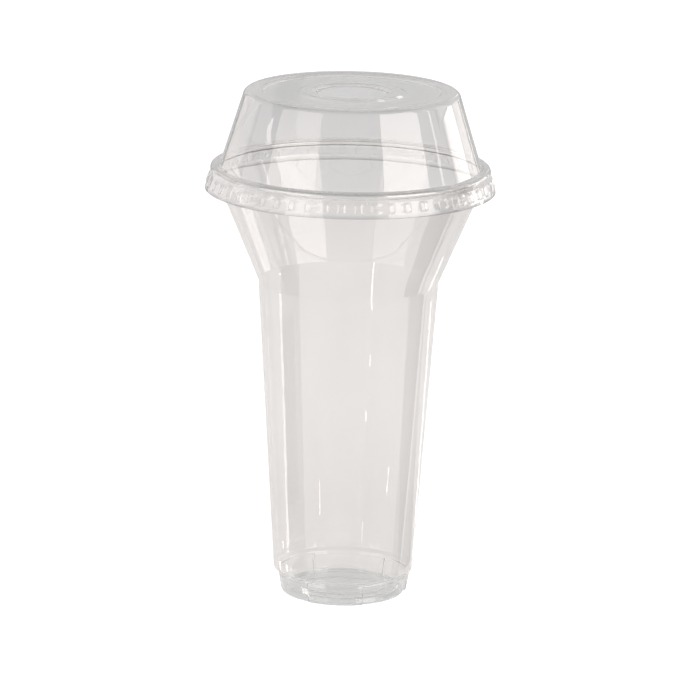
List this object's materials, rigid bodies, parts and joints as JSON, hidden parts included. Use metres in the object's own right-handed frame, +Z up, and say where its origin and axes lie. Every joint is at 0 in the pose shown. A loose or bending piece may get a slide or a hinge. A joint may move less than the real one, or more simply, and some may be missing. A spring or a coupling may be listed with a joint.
{
  "type": "disposable cup with lid",
  "caption": "Clear plastic drink cup with a tall tapered body and a flared top, under a domed push-fit lid with a round straw hole.",
  "frame": {"origin": "centre of the cup's standing ring, on the surface that the cup stands on", "axes": "+Z up along the cup's axis, -Y towards the viewer of the picture, +X to the viewer's right"},
  "size_m": [0.1026, 0.1026, 0.1819],
  "materials": {
    "cup_sheet": "clear glossy formed sheet",
    "lid_sheet": "clear glossy formed sheet"
  },
  "bodies": {
    "cup": {"cup": "cup_sheet"},
    "lid": {"lid": "lid_sheet"}
  },
  "joints": [
    {"name": "lid_lift", "type": "slide", "parent": "cup", "child": "lid", "axis": [0, 0, 1], "range_m": [0, 0.06]}
  ]
}
